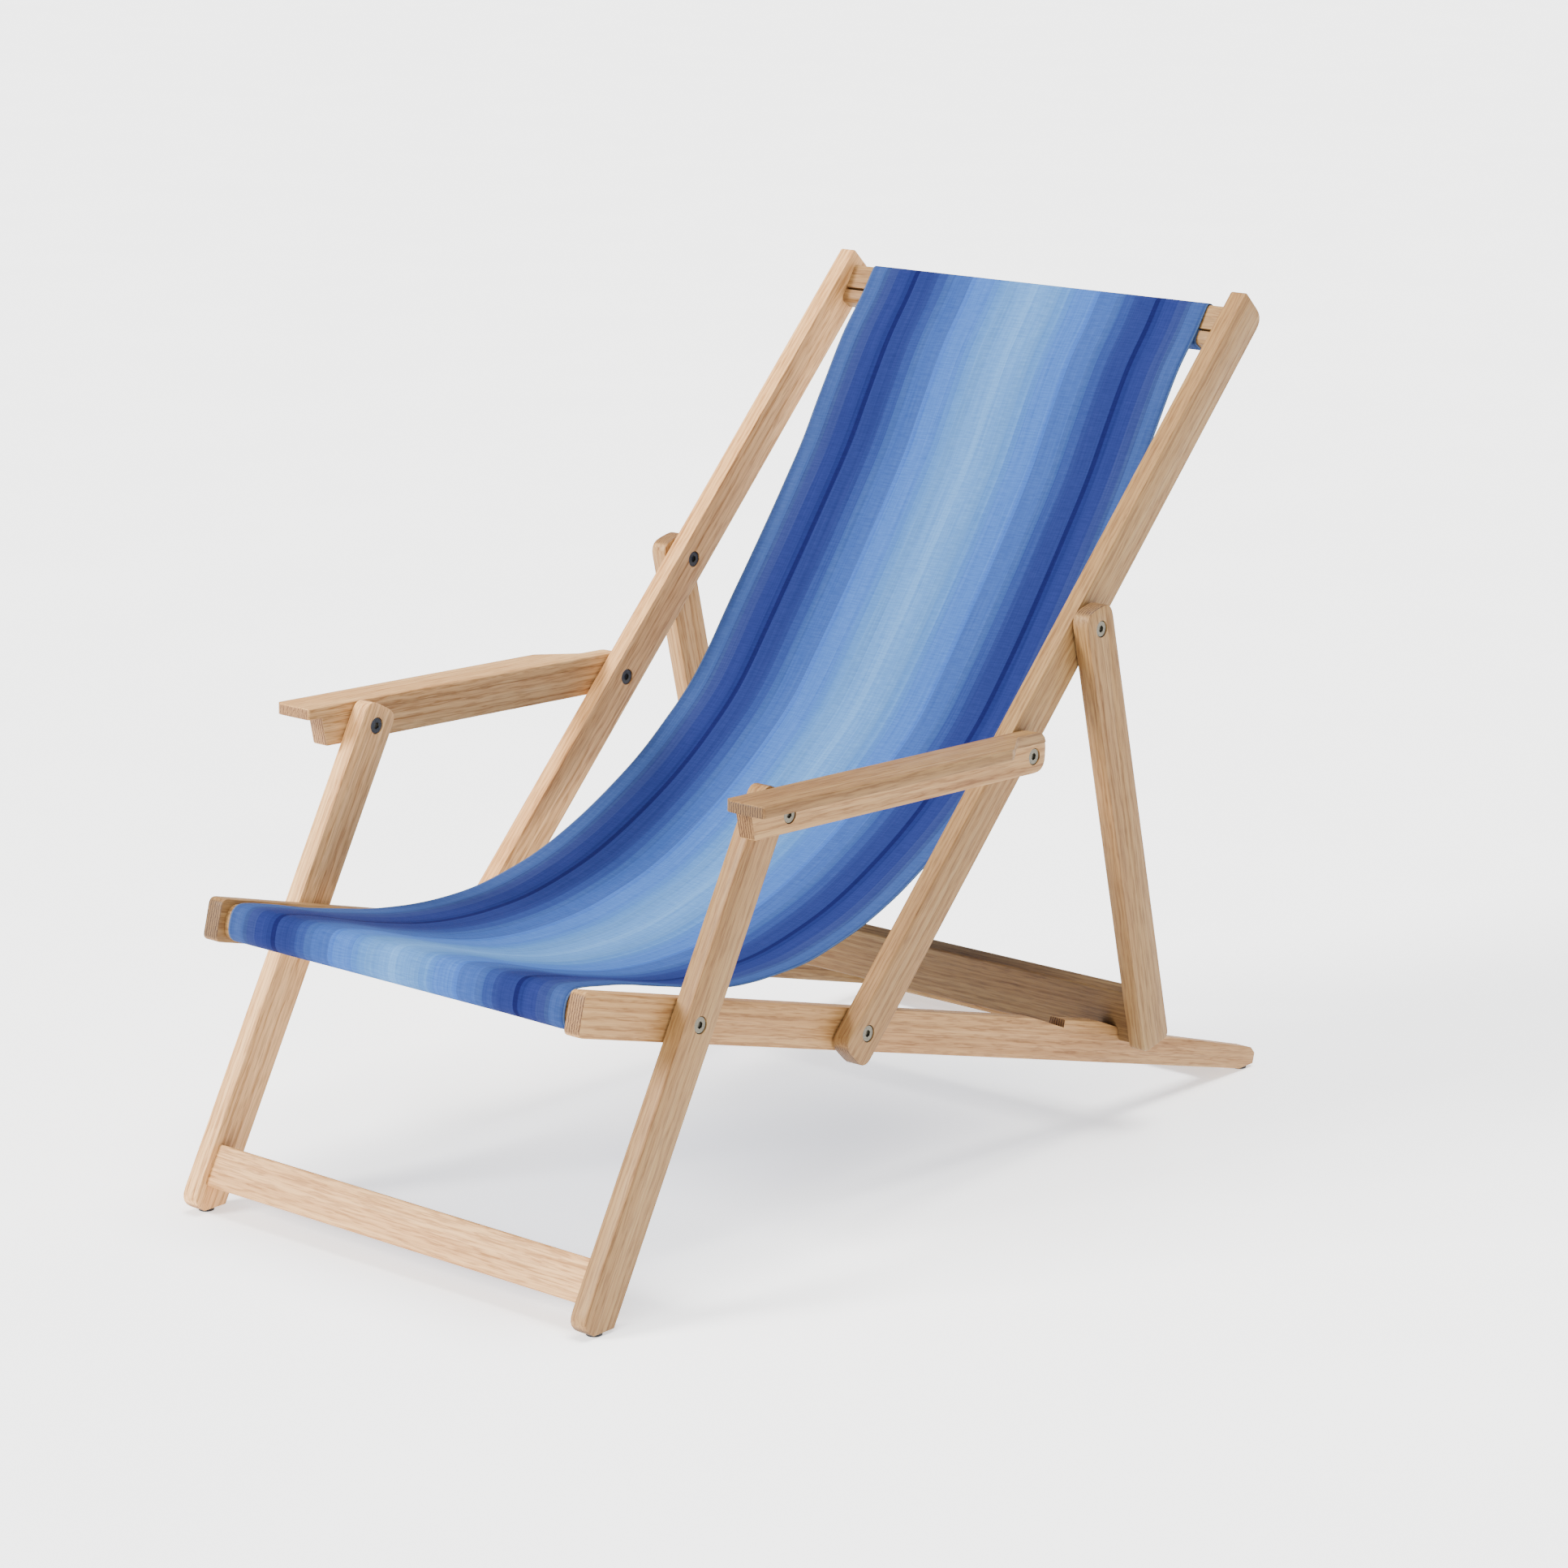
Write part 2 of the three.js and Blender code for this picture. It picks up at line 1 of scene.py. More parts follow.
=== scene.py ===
import math

import bpy
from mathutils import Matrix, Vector, noise


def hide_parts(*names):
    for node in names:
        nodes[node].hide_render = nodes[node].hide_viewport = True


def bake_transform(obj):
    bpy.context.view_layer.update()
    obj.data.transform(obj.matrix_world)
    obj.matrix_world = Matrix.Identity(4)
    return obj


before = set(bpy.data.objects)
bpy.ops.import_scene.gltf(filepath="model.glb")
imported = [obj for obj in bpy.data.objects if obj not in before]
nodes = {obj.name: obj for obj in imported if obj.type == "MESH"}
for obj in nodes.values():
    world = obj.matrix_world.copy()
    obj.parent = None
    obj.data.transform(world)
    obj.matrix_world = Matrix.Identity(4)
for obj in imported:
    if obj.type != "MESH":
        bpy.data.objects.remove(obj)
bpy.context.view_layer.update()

MM = 0.001

# Places in the chair's side plane, as in the CAD model, in millimetres and degrees.
ORIGIN_Y = 535.716
LEG_PIVOT = (141.0, 273.3)
SEAT_ANGLE = -15.0
BACK_ANGLE = 46.0
LEG_ANGLE = 61.2
ARM_ANGLE = -2.0
PROP_ANGLE = -76.8
SEAT_LINK = 258.0
# A bar's centre and tilt in its frame, its width, the radius of its outer corners, and the
# way round that the cloth goes.
FRONT_BAR = {"at": (-125.0, 0.0), "turn": -90.0, "width": 36.0, "nose": 16.0, "side": -1}
TOP_BAR = {"at": (884.0, -6.4), "turn": 11.0, "width": 46.0, "nose": 8.0, "side": 1}
BAR_THICK = 24.0
BAR_ROUND = 7.0
SLOT_OFF = 8.0
SLOT_DEEP = 9.0


# ---- materials ------------------------------------------------------------------------

# Sockets of a colour mix node, whose names aren't unique.
MIX_FACTOR, MIX_A, MIX_B = 0, 6, 7
MIXED = 2


def linear(code):
    """An sRGB colour such as "d9bd9b" as linear RGBA."""
    parts = [int(code[i : i + 2], 16) / 255 for i in (0, 2, 4)]
    flat = [c / 12.92 if c <= 0.04045 else ((c + 0.055) / 1.055) ** 2.4 for c in parts]
    return (*flat, 1.0)


class Tree:
    """A material's node tree with short calls to add and join nodes.

    An input is a constant or a pair: a node and the name of its output.
    """

    def __init__(self, name):
        self.material = bpy.data.materials.new(name)
        self.material.use_nodes = True
        self.tree = self.material.node_tree
        self.tree.nodes.clear()
        self.shader = self.add("ShaderNodeBsdfPrincipled")
        output = self.add("ShaderNodeOutputMaterial")
        self.join(self.shader, "BSDF", output, "Surface")

    def add(self, kind, inputs=None, **settings):
        node = self.tree.nodes.new(kind)
        for key, value in settings.items():
            setattr(node, key, value)
        for key, value in (inputs or {}).items():
            if isinstance(value, tuple) and isinstance(value[0], bpy.types.Node):
                self.join(*value, node, key)
            else:
                node.inputs[key].default_value = value
        return node

    def join(self, source, out, target, into):
        self.tree.links.new(source.outputs[out], target.inputs[into])

    def math(self, operation, a, b=0.0):
        return self.add("ShaderNodeMath", {0: a, 1: b}, operation=operation)

    def mapped(self, place, **settings):
        """Coordinates that are turned, then shifted or scaled."""
        inputs = {key.capitalize(): value for key, value in settings.items()}
        return self.add("ShaderNodeMapping", {"Vector": place, **inputs})

    def noise(self, place, scale, detail, roughness):
        inputs = {"Vector": place, "Scale": scale, "Detail": detail, "Roughness": roughness}
        return self.add("ShaderNodeTexNoise", inputs)

    def ramp(self, factor, stops, interpolation="LINEAR"):
        """Colours over a factor, from pairs of a place and an sRGB colour."""
        node = self.add("ShaderNodeValToRGB", {"Fac": factor})
        node.color_ramp.interpolation = interpolation
        elements = node.color_ramp.elements
        while len(elements) < len(stops):
            elements.new(0.5)
        for element, (place, code) in zip(elements, stops):
            element.position = place
            element.color = linear(code)
        return node

    def remap(self, value, low, high, start=0.0, end=1.0):
        """Values from start to end become values from low to high."""
        source = {"Value": value, "From Min": start, "From Max": end}
        return self.add("ShaderNodeMapRange", {**source, "To Min": low, "To Max": high})

    def mix(self, factor, a, b, blend="MIX"):
        inputs = {MIX_FACTOR: factor, MIX_A: a, MIX_B: b}
        return self.add("ShaderNodeMix", inputs, data_type="RGBA", blend_type=blend)

    def multiply(self, factor, a, b):
        return self.mix(factor, a, b, "MULTIPLY")

    def bump(self, height, strength, distance, normal=None):
        inputs = {"Height": height, "Strength": strength, "Distance": distance}
        if normal:
            inputs["Normal"] = (normal, "Normal")
        return self.add("ShaderNodeBump", inputs)

    def finish(self, colour, rough, normal, **values):
        """Join the surface's colour, roughness and normal, and set its constants."""
        self.join(*colour, self.shader, "Base Color")
        self.join(rough, "Result", self.shader, "Roughness")
        self.join(normal, "Normal", self.shader, "Normal")
        self.set(**values)
        return self.material

    def set(self, **values):
        for key, value in values.items():
            self.shader.inputs[key.replace("_", " ")].default_value = value


# How far the grain moves from one board to the next, so that no two look alike.
BOARD_SHIFT = (0.31, 0.83, 0.17)


def wood(name, turn, seed, tone=1.0):
    """Light ash with its grain along a bar: turn brings the bar's length onto Y."""
    t = Tree(name)
    coord = t.add("ShaderNodeTexCoord")
    shift = tuple(step * seed for step in BOARD_SHIFT)
    place = t.mapped((coord, "Object"), rotation=turn, location=shift)

    def stretched(across, along):
        return (t.mapped((place, "Vector"), scale=(across, along, across)), "Vector")

    def grain(across, along, detail):
        return t.noise(stretched(across, along), scale=1.0, detail=detail, roughness=0.55)

    def waves(place, scale, distortion, detail_scale, **settings):
        inputs = {
            "Vector": place,
            "Scale": scale,
            "Distortion": distortion,
            "Detail": 2.0,
            "Detail Scale": detail_scale,
        }
        return t.add("ShaderNodeTexWave", inputs, **settings)

    rings = waves(
        stretched(across=1.0, along=0.07),
        scale=72.0,
        distortion=6.0,
        detail_scale=6.0,
        wave_type="RINGS",
        rings_direction="Y",
    )
    rings.inputs["Detail Roughness"].default_value = 0.45
    streaks = grain(across=240.0, along=3.5, detail=6.0)
    pores = grain(across=1300.0, along=26.0, detail=2.0)
    blotch = grain(across=14.0, along=2.0, detail=2.0)

    ring_stops = [(0.0, "6a4722"), (0.28, "926d44"), (1.0, "a07d52")]
    ring_tone = t.ramp((rings, "Fac"), ring_stops, "EASE")
    streak_stops = [(0.28, "664120"), (0.5, "916d44"), (0.74, "a6855a")]
    streak_tone = t.ramp((streaks, "Fac"), streak_stops)
    body = t.mix(0.55, (ring_tone, "Color"), (streak_tone, "Color"))
    blotch_tone = t.ramp((blotch, "Fac"), [(0.3, "efdfd2"), (0.7, "ffffff")])
    shaded = t.multiply(0.8, (body, MIXED), (blotch_tone, "Color"))
    pore_mask = t.ramp((pores, "Fac"), [(0.34, "ffffff"), (0.44, "000000")])
    pore_share = t.math("MULTIPLY", (pore_mask, "Color"), 0.4)
    colour = t.mix((pore_share, "Value"), (shaded, MIXED), linear("5d3a1b"))

    # Sawn ends are darker and show their growth rings as lines.
    normal_inputs = {"Vector": (coord, "Normal"), "Rotation": turn}
    normal = t.add("ShaderNodeMapping", normal_inputs, vector_type="VECTOR")
    facing = t.add("ShaderNodeSeparateXYZ", {"Vector": (normal, "Vector")})
    end_facing = t.math("ABSOLUTE", (facing, "Y"))
    endness = t.ramp((end_facing, "Value"), [(0.75, "000000"), (0.93, "ffffff")])
    lines = waves(
        (place, "Vector"),
        scale=105.0,
        distortion=3.0,
        detail_scale=3.0,
        bands_direction="X",
    )
    end_tone = t.ramp((lines, "Fac"), [(0.1, "3f2511"), (0.6, "745331")])
    colour = t.mix((endness, "Color"), (colour, MIXED), (end_tone, "Color"))
    # The bar's tone scales its colour: it holds painted light and shade as well as the
    # board's own paleness, and a paler setting is also less yellow.
    tone_and_painted_light = (tone, 1.03 * tone, 0.93 * tone**1.15, 1.0)
    colour = t.multiply(1.0, (colour, MIXED), tone_and_painted_light)

    rough = t.remap((streaks, "Fac"), low=0.66, high=0.5, start=0.3, end=0.7)
    coarse = t.bump((streaks, "Fac"), strength=0.35, distance=0.0004)
    fine = t.bump((pores, "Fac"), strength=0.4, distance=0.00015, normal=coarse)
    return t.finish((colour, MIXED), rough, fine, Specular_IOR_Level=0.35)


def speckled(name, stops, scale, detail, roughness, bump, **values):
    """A hard material with fine specks: roughness is its lowest and highest."""
    t = Tree(name)
    coord = t.add("ShaderNodeTexCoord")
    specks = t.noise((coord, "Object"), scale=scale, detail=detail, roughness=0.6)
    tone = t.ramp((specks, "Fac"), stops)
    low, high = roughness
    rough = t.remap((specks, "Fac"), low=low, high=high)
    dents = t.bump((specks, "Fac"), strength=bump, distance=0.0001)
    return t.finish((tone, "Color"), rough, dents, **values)


def steel():
    """Stainless steel with fine specks."""
    stops = [(0.3, "4c4941"), (0.7, "747064")]
    roughness = (0.28, 0.5)
    return speckled("steel", stops, 900.0, 3.0, roughness, bump=0.15, Metallic=1.0)


def plastic(name, dark, light, roughness):
    stops = [(0.3, dark), (0.7, light)]
    return speckled(name, stops, 700.0, 4.0, roughness, bump=0.2)


# The cloth's colours from its middle (0) to its edge (1).
CLOTH_TONES = [
    (0.0, "6594c2"),
    (0.016, "5987b8"),
    (0.1, "5480b0"),
    (0.16, "4d7aae"),
    (0.205, "4772ac"),
    (0.24, "446baa"),
    (0.355, "3e63a6"),
    (0.38, "38538d"),
    (0.485, "344c81"),
    (0.53, "2e3f75"),
    (0.585, "283468"),
    (0.61, "242e62"),
    (0.705, "11154a"),
    (0.732, "1d265b"),
    (0.76, "242d63"),
    (0.835, "2d3768"),
    (0.885, "31406c"),
    (0.91, "384d7e"),
    (0.99, "52678b"),
]
CLOTH_BANDS = 104.0
THREADS_ACROSS = 560.0
THREADS_PER_METRE = 900.0


def cloth():
    """Canvas with lengthwise stripes that fade in narrow steps, and a plain weave."""
    t = Tree("sling_cloth")
    uv = t.add("ShaderNodeUVMap", uv_map="cloth")
    parts = t.add("ShaderNodeSeparateXYZ", {"Vector": (uv, "UV")})
    centred = t.math("SUBTRACT", (parts, "X"), 0.5)
    off_middle = t.math("ABSOLUTE", (centred, "Value"))
    across = t.math("MULTIPLY", (off_middle, "Value"), 2.0)

    # Flat stripes, and narrow bands that differ a little.
    tone = t.ramp((across, "Value"), CLOTH_TONES, "CONSTANT")
    band_place = t.math("MULTIPLY", (parts, "X"), CLOTH_BANDS)
    band = t.math("FLOOR", (band_place, "Value"))
    band_noise = t.add(
        "ShaderNodeTexWhiteNoise",
        {"W": (band, "Value")},
        noise_dimensions="1D",
    )
    band_tone = t.ramp((band_noise, "Value"), [(0.0, "ebeff5"), (1.0, "ffffff")])
    striped = t.multiply(1.0, (tone, "Color"), (band_tone, "Color"))

    # Uneven yarns run along the cloth.
    yarn_place = t.mapped((uv, "UV"), scale=(260.0, 9.0, 1.0))
    yarn = t.noise((yarn_place, "Vector"), scale=1.0, detail=4.0, roughness=0.65)
    yarn_tone = t.ramp((yarn, "Fac"), [(0.3, "d9e0ea"), (0.7, "ffffff")])
    yarned = t.multiply(0.9, (striped, MIXED), (yarn_tone, "Color"))

    # Finer, shorter ones run across it.
    weft_place = t.mapped((uv, "UV"), scale=(26.0, 620.0, 1.0))
    weft_yarn = t.noise((weft_place, "Vector"), scale=1.0, detail=3.0, roughness=0.6)
    weft_tone = t.ramp((weft_yarn, "Fac"), [(0.32, "d3dbe6"), (0.66, "ffffff")])
    yarned = t.multiply(0.8, (yarned, MIXED), (weft_tone, "Color"))

    # Threads go over and under each other: the bumps give them height, and the colour is
    # painted darker in the hollows between them as painted shade.
    warp_turn = t.math("MULTIPLY", (parts, "X"), THREADS_ACROSS * math.tau)
    weft_turn = t.math("MULTIPLY", (parts, "Y"), THREADS_PER_METRE * math.tau)
    warp = t.math("SINE", (warp_turn, "Value"))
    weft = t.math("SINE", (weft_turn, "Value"))
    weave = t.math("MULTIPLY", (warp, "Value"), (weft, "Value"))
    weave_height = t.remap((weave, "Value"), low=0.0, high=1.0, start=-1.0)
    weave_painted_shade = t.ramp((weave_height, "Result"), [(0.0, "dfe4ea"), (1.0, "ffffff")])
    colour = t.multiply(0.6, (yarned, MIXED), (weave_painted_shade, "Color"))

    soft = t.bump((yarn, "Fac"), strength=0.3, distance=0.0004)
    woven = t.bump((weave_height, "Result"), strength=0.35, distance=0.00025, normal=soft)
    rough = t.remap((yarn, "Fac"), low=0.95, high=0.78)
    return t.finish((colour, MIXED), rough, woven, Specular_IOR_Level=0.07)


# ---- CAD pieces -----------------------------------------------------------------------

WELD_DISTANCE = 1e-6
SHARP_ANGLE = 32.0


def smooth_by_angle(limit):
    """A modifier's node group: welds a mesh and keeps only its sharp edges sharp."""
    group = bpy.data.node_groups.new("smooth_by_angle", "GeometryNodeTree")
    group.interface.new_socket("Geometry", in_out="INPUT", socket_type="NodeSocketGeometry")
    group.interface.new_socket("Geometry", in_out="OUTPUT", socket_type="NodeSocketGeometry")
    new = group.nodes.new
    start = new("NodeGroupInput")
    end = new("NodeGroupOutput")
    weld = new("GeometryNodeMergeByDistance")
    weld.inputs["Distance"].default_value = WELD_DISTANCE
    smooth = new("GeometryNodeSetShadeSmooth")
    smooth.domain = "FACE"
    sharp = new("GeometryNodeSetShadeSmooth")
    sharp.domain = "EDGE"
    sharp.inputs["Shade Smooth"].default_value = False
    angle = new("GeometryNodeInputMeshEdgeAngle")
    over = new("FunctionNodeCompare")
    over.operation = "GREATER_THAN"
    over.inputs["B"].default_value = math.radians(limit)
    link = group.links.new
    link(start.outputs[0], weld.inputs["Geometry"])
    link(weld.outputs[0], smooth.inputs["Geometry"])
    link(smooth.outputs[0], sharp.inputs["Geometry"])
    link(angle.outputs["Unsigned Angle"], over.inputs["A"])
    link(over.outputs["Result"], sharp.inputs["Selection"])
    link(sharp.outputs[0], end.inputs[0])
    return group


def side_turn(degrees):
    return (math.radians(-degrees), 0.0, 0.0)


# How each bar's length is turned onto Y, by the start of its name.
ACROSS = (0.0, 0.0, math.radians(90.0))
GRAIN = {
    "seat_rail": side_turn(SEAT_ANGLE),
    "back_rail": side_turn(BACK_ANGLE),
    "front_leg": side_turn(LEG_ANGLE),
    "armrest_rail": side_turn(ARM_ANGLE),
    "armrest_board": side_turn(ARM_ANGLE),
    "prop_left": side_turn(PROP_ANGLE),
    "prop_right": side_turn(PROP_ANGLE),
    "prop_board": ACROSS,
    "front_bar": ACROSS,
    "top_bar": ACROSS,
    "front_stretcher": ACROSS,
    "rear_slat": ACROSS,
}

# How much paler or darker each bar's colour is set than the others: this paints the light
# and shade that fall on each bar, on top of some real board-to-board tone.
TIMBER_AND_PAINTED_LIGHT = {
    "front_stretcher": 2.2,
    "front_leg_right": 2.5,
    "back_rail_right": 2.4,
    "seat_rail_left": 1.4,
    "armrest_board_right": 1.9,
    "armrest_rail_right": 2.0,
    "armrest_board_left": 0.82,
    "armrest_rail_left": 1.25,
    "prop_right": 1.4,
    "back_rail_left": 0.95,
    "prop_left": 0.93,
    "prop_board": 0.62,
    "seat_rail_right": 0.85,
}

metal = steel()
glide_plastic = plastic("glide_nylon", "101011", "232324", roughness=(0.45, 0.65))
pale_plastic = plastic("pale_nylon", "d9d5ca", "ece9e0", roughness=(0.4, 0.55))
smoothing = smooth_by_angle(SHARP_ANGLE)

for number, (name, node) in enumerate(sorted(nodes.items())):
    turns = [turn for start, turn in GRAIN.items() if name.startswith(start)]
    if turns:
        # A bar's tone holds painted light and shade as well as its board's own paleness.
        material = wood("ash_" + name, turns[0], number + 1, TIMBER_AND_PAINTED_LIGHT.get(name, 1.0))
    elif "bolt" in name or "nut" in name:
        material = metal
    elif "glide" in name:
        material = glide_plastic
    else:
        material = pale_plastic
    node.data.materials.clear()
    node.data.materials.append(material)
    modifier = node.modifiers.new("smooth_by_angle", "NODES")
    modifier.node_group = smoothing


# ---- sling ----------------------------------------------------------------------------


def place_at(pivot, degrees):
    return (pivot, math.radians(degrees))


def to_chair(place, point):
    """A point of a part's own side plane as (y, z) in the chair's."""
    (py, pz), angle = place
    u, v = point
    cos, sin = math.cos(angle), math.sin(angle)
    return (py + u * cos - v * sin, pz + u * sin + v * cos)


SEAT = place_at(LEG_PIVOT, SEAT_ANGLE)
BACK_PIVOT = to_chair(SEAT, (SEAT_LINK, 0.0))
BACK = place_at(BACK_PIVOT, BACK_ANGLE)
FRONT_BAR_PLACE = place_at(to_chair(SEAT, FRONT_BAR["at"]), SEAT_ANGLE + FRONT_BAR["turn"])
TOP_BAR_PLACE = place_at(to_chair(BACK, TOP_BAR["at"]), BACK_ANGLE + TOP_BAR["turn"])

CLOTH_THICK = 0.9
CLOTH_HALF = 231.0
OFF = 0.3 + CLOTH_THICK / 2  # the cloth's middle layer off the wood

# In a bar's slot, the cloth's two layers and the loop that they make round the rod.
LAYER = 0.7
ROD_LOOP = 3.2
ROD_LOOP_START = 76.0
ROD_LOOP_SWEEP = 324.0
ROD_LOOP_STEPS = 16
LOOP_NECK = 4.5

# Where the cloth is narrower on the seat and off centre on the back.
WAIST = 5.5
DRIFT = 2.5
BACK_STARTS = 0.5
BACK_FADE = 0.2

# How far it sags between its edges, at its front and less so at its top.
SAG_FRONT = 9.0
SAG_LOSS = 4.0
SAG_FADE = 200.0

# The near edge is lifted behind the front bar.
NEAR_LIFT = 7.0
LIFT_PLACE = 75.0
LIFT_SPREAD = 90.0
LIFT_FROM = 0.55

# Uneven tension: broad ripples in the cloth, and short ones along its edges.
RIPPLE = 1.6
RIPPLE_LENGTH = 170.0
EDGE_RIPPLE = 0.8
EDGE_RIPPLE_LENGTH = 60.0
FRONT_FADE = 90.0
TOP_FADE = 60.0

COLUMNS = 44
HANG_STEP = 9.0
LONGEST_STEP = 10.0
SHORTEST_STEP = 0.05


def smoothstep(t):
    t = min(1.0, max(0.0, t))
    return t * t * (3 - 2 * t)


def rounded(corners, steps=6):
    """Points along corners (y, z, radius), rounded where they have a radius."""
    points = []
    for i, (y, z, radius) in enumerate(corners):
        here = Vector((y, z))
        if radius == 0:
            points.append(here)
            continue
        before = (Vector(corners[i - 1][:2]) - here).normalized()
        after = (Vector(corners[i + 1][:2]) - here).normalized()
        reach = radius / math.tan(before.angle(after) / 2)
        start, end = here + before * reach, here + after * reach
        for k in range(steps + 1):
            t = k / steps
            points.append((1 - t) ** 2 * start + 2 * t * (1 - t) * here + t * t * end)
    return points


def hem(bar, place):
    """The cloth's sewn end: into the slot, round the rod and out again."""
    side = bar["side"]
    slot = -side * SLOT_OFF
    deep = BAR_THICK / 2 - SLOT_DEEP
    path = [(slot + side * LAYER, BAR_THICK / 2 - 1.0)]
    for k in range(ROD_LOOP_STEPS + 1):
        turn = math.radians(ROD_LOOP_START - k * ROD_LOOP_SWEEP / ROD_LOOP_STEPS)
        u, v = ROD_LOOP * math.cos(turn), ROD_LOOP * math.sin(turn)
        path.append((slot + side * u, deep + v))
    path.append((slot - side * LAYER, deep + LOOP_NECK))
    return [Vector(to_chair(place, p)) for p in path]


def wrap(bar, place):
    """From the slot round the bar to its far side."""
    side = bar["side"]
    end = side * (bar["width"] / 2 + OFF)
    face = BAR_THICK / 2 + OFF
    slot = -side * SLOT_OFF - side * LAYER
    corners = [
        (slot, face - 3.0, 0),
        (slot, face, 0.8),
        (-end, face, BAR_ROUND + OFF),
        (-end, -face, bar["nose"] + OFF),
        (end, -face, bar["nose"] + OFF),
    ]
    return [(*to_chair(place, (u, v)), radius) for u, v, radius in corners]


# The edge of the cloth in the side plane, as it hangs between the two bars.
HANG = [
    (40, 321.5),
    (73, 313),
    (117, 301),
    (162, 291),
    (205, 282.5),
    (255, 276),
    (305, 274),
    (360, 277),
    (415, 287.5),
    (470, 303.5),
    (530, 329.5),
    (590, 362),
    (648, 401.5),
    (700, 443.5),
    (751, 501),
    (804, 567),
    (853, 632),
    (890, 684),
    (921, 735),
    (952, 784),
]


def catmull(points, step):
    """A smooth curve through points, in steps of about that length."""
    knots = [Vector(p) for p in points]
    first = knots[0] * 2 - knots[1]
    last = knots[-1] * 2 - knots[-2]
    knots = [first, *knots, last]
    out = []
    for a, b, c, d in zip(knots, knots[1:], knots[2:], knots[3:]):
        count = max(2, round((c - b).length / step))
        for k in range(count):
            t = k / count
            out.append(
                0.5
                * (
                    2 * b
                    + (c - a) * t
                    + (2 * a - 5 * b + 4 * c - d) * t * t
                    + (3 * b - a - 3 * c + d) * t**3
                )
            )
    out.append(knots[-2])
    return out


def cloth_path():
    """The whole path of the cloth, and where its hanging part starts and ends."""
    front = hem(FRONT_BAR, FRONT_BAR_PLACE)
    front_corners = [*wrap(FRONT_BAR, FRONT_BAR_PLACE), (*HANG[0], 0)]
    front += rounded(front_corners)
    end = TOP_BAR["width"] / 2 + OFF
    face = BAR_THICK / 2 + OFF
    lead = [
        (*to_chair(TOP_BAR_PLACE, (end, face + 0.6)), BAR_ROUND),
        (*to_chair(TOP_BAR_PLACE, (2.0 - SLOT_OFF, face + 2 * CLOTH_THICK)), 0),
    ]
    top_corners = [*wrap(TOP_BAR, TOP_BAR_PLACE), *lead]
    top = hem(TOP_BAR, TOP_BAR_PLACE) + rounded(top_corners)
    top.reverse()
    hang = catmull([*HANG, tuple(top[0])], HANG_STEP)
    path = front[:-1] + hang + top[1:]
    clean = [path[0]]
    for point in path[1:]:
        gap = (point - clean[-1]).length
        parts = max(1, math.ceil(gap / LONGEST_STEP))
        if gap > SHORTEST_STEP:
            clean += [clean[-1].lerp(point, (k + 1) / parts) for k in range(parts)]
    return clean, HANG[0], tuple(top[0])


def sling():
    """The cloth as one sheet, and its length along the path in metres."""
    path, hang_start, hang_end = cloth_path()
    lengths = [0.0]
    for a, b in zip(path, path[1:]):
        lengths.append(lengths[-1] + (b - a).length)

    def length_at(place):
        nearest = min(range(len(path)), key=lambda i: (path[i] - Vector(place)).length)
        return lengths[nearest]

    start, end = length_at(hang_start), length_at(hang_end)
    lift_at = start + LIFT_PLACE
    verts, coords = [], []
    for i, point in enumerate(path):
        tangent = (path[min(i + 1, len(path) - 1)] - path[max(i - 1, 0)]).normalized()
        down = Vector((tangent.y, -tangent.x))
        s = lengths[i]
        hang = smoothstep((s - start) / FRONT_FADE) * smoothstep((end - s) / TOP_FADE)
        along = min(1.0, max(0.0, (s - start) / (end - start)))
        off_bars = smoothstep((s - start) / SAG_FADE) * smoothstep((end - s) / SAG_FADE)
        sag = (SAG_FRONT - SAG_LOSS * along) * off_bars
        on_back = smoothstep((along - BACK_STARTS) / BACK_FADE)
        half = CLOTH_HALF - WAIST * hang * (1 - on_back)
        lifted = NEAR_LIFT * math.exp(-(((s - lift_at) / LIFT_SPREAD) ** 2))
        for k in range(COLUMNS + 1):
            a = 2 * k / COLUMNS - 1
            x = a * half - DRIFT * hang * on_back
            ripple_at = Vector((a * 2.3, s / RIPPLE_LENGTH, 4.7))
            edge_at = Vector((s / EDGE_RIPPLE_LENGTH, a * 0.8, 9.1))
            ripple = noise.noise(ripple_at) * RIPPLE * hang
            edge = noise.noise(edge_at) * EDGE_RIPPLE * hang * abs(a) ** 6
            lift = lifted * smoothstep((a - LIFT_FROM) / (1 - LIFT_FROM))
            depth = sag * (1 - a * a) + ripple * (1 - a**8) + edge - lift
            y = point.x + down.x * depth - ORIGIN_Y
            z = point.y + down.y * depth
            verts.append((x * MM, y * MM, z * MM))
            coords.append(((a + 1) / 2, s * MM))
    faces = []
    row = COLUMNS + 1
    for i in range(len(path) - 1):
        for k in range(COLUMNS):
            a = i * row + k
            faces.append((a, a + 1, a + row + 1, a + row))
    mesh = bpy.data.meshes.new("sling")
    mesh.from_pydata(verts, [], faces)
    layer = mesh.uv_layers.new(name="cloth")
    for loop in mesh.loops:
        layer.data[loop.index].uv = coords[loop.vertex_index]
    mesh.polygons.foreach_set("use_smooth", [True] * len(mesh.polygons))
    mesh.update()
    piece = bpy.data.objects.new("sling", mesh)
    bpy.context.scene.collection.objects.link(piece)
    piece.data.materials.append(cloth())
    thickness = piece.modifiers.new("thickness", "SOLIDIFY")
    thickness.thickness = CLOTH_THICK * MM
    thickness.offset = 0.0
    return piece, lengths[-1] * MM


sling_piece, sling_length = sling()
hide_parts("sling_seat", "sling_back")
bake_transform(sling_piece)


# ---- floor, light and camera ----------------------------------------------------------

FLOOR_REACH = 40.0


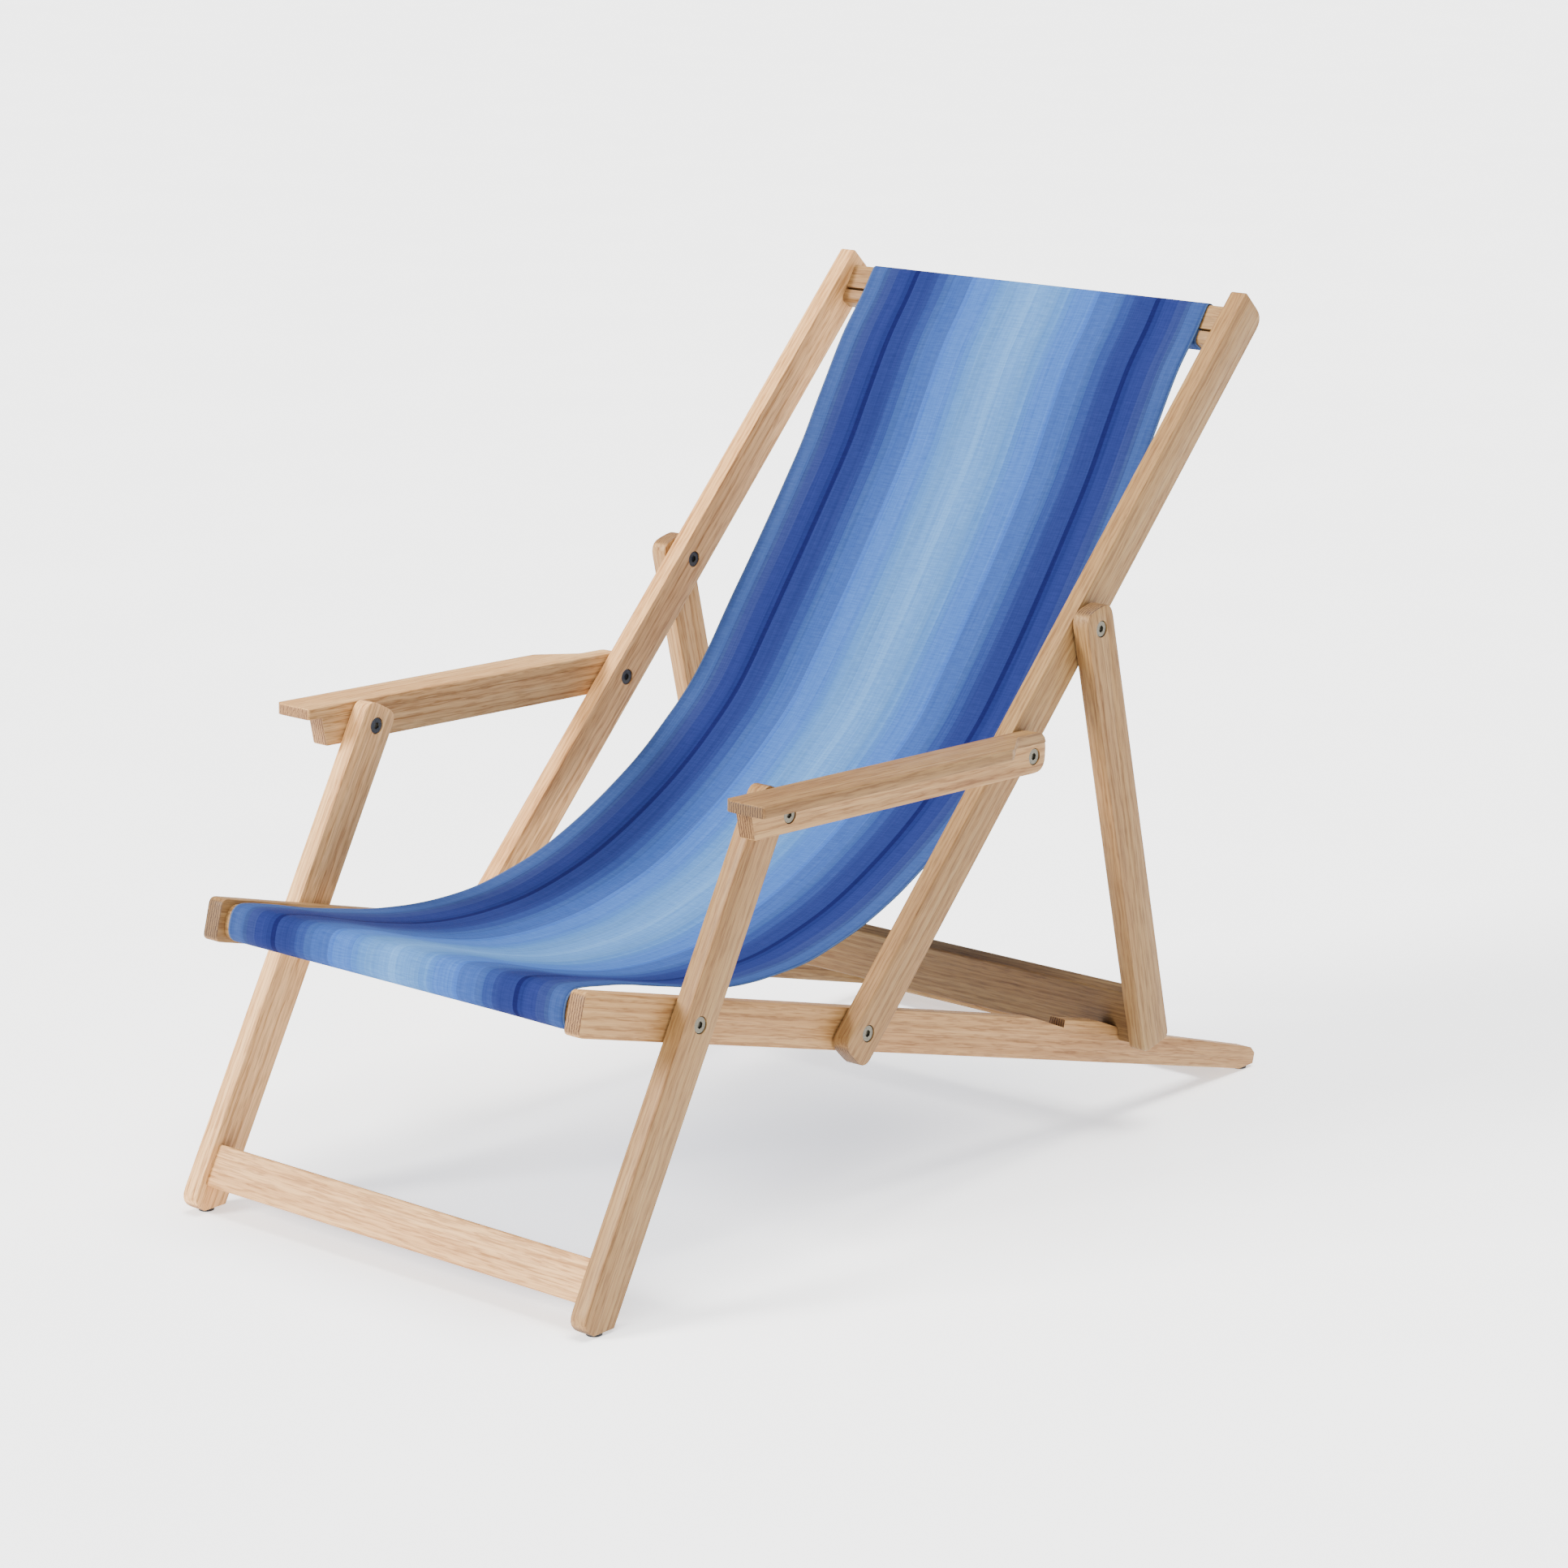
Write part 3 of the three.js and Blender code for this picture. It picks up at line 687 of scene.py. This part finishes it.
def floor():
    """A matt white floor that glows a little, as paper lit from all sides does."""
    t = Tree("floor")
    coord = t.add("ShaderNodeTexCoord")
    patches = t.add("ShaderNodeTexNoise", {"Vector": (coord, "Object"), "Scale": 3.0})
    tone = t.ramp((patches, "Fac"), [(0.3, "fbfbfb"), (0.7, "fefefe")])
    t.join(tone, "Color", t.shader, "Base Color")
    t.join(tone, "Color", t.shader, "Emission Color")
    t.set(Roughness=0.9, Specular_IOR_Level=0.1, Emission_Strength=1.0)
    mesh = bpy.data.meshes.new("floor")
    signs = [(-1, -1), (1, -1), (1, 1), (-1, 1)]
    corners = [(FLOOR_REACH * x, FLOOR_REACH * y, 0) for x, y in signs]
    mesh.from_pydata(corners, [], [(0, 1, 2, 3)])
    mesh.materials.append(t.material)
    plane = bpy.data.objects.new("floor", mesh)
    bpy.context.scene.collection.objects.link(plane)


def sky(colour, strength):
    world = bpy.data.worlds.new("studio")
    world.use_nodes = True
    background = world.node_tree.nodes["Background"]
    background.inputs["Color"].default_value = (*colour, 1.0)
    background.inputs["Strength"].default_value = strength
    bpy.context.scene.world = world


def far_light(name, place, spread, strength):
    """A large lamp so far away that it lights the whole floor evenly."""
    data = bpy.data.lights.new(name, "SUN")
    data.angle = math.radians(spread)
    data.energy = strength
    data.color = (1.0, 0.985, 0.96)
    lamp = bpy.data.objects.new(name, data)
    lamp.location = place
    lamp.rotation_euler = (-Vector(place)).to_track_quat("-Z", "Y").to_euler()
    bpy.context.scene.collection.objects.link(lamp)


def photo_camera(place, rise, turn, lens):
    """The photograph's camera, as solved from the chair's straight edges."""
    data = bpy.data.cameras.new("camera")
    data.lens = lens
    data.sensor_width = 36.0
    camera = bpy.data.objects.new("camera", data)
    camera.location = place
    camera.rotation_euler = (math.radians(rise), 0.0, math.radians(turn))
    bpy.context.scene.collection.objects.link(camera)
    bpy.context.scene.camera = camera


floor()
sky(colour=(0.86, 0.92, 1.0), strength=0.6)
far_light("key", (-2.0, -3.6, 2.3), spread=20.0, strength=6.3)
far_light("top", (0.5, 0.6, 5.0), spread=34.0, strength=5.6)
photo_camera((3.0446, -3.4743, 1.5472), rise=75.92, turn=40.82, lens=104.6)

bpy.context.view_layer.update()
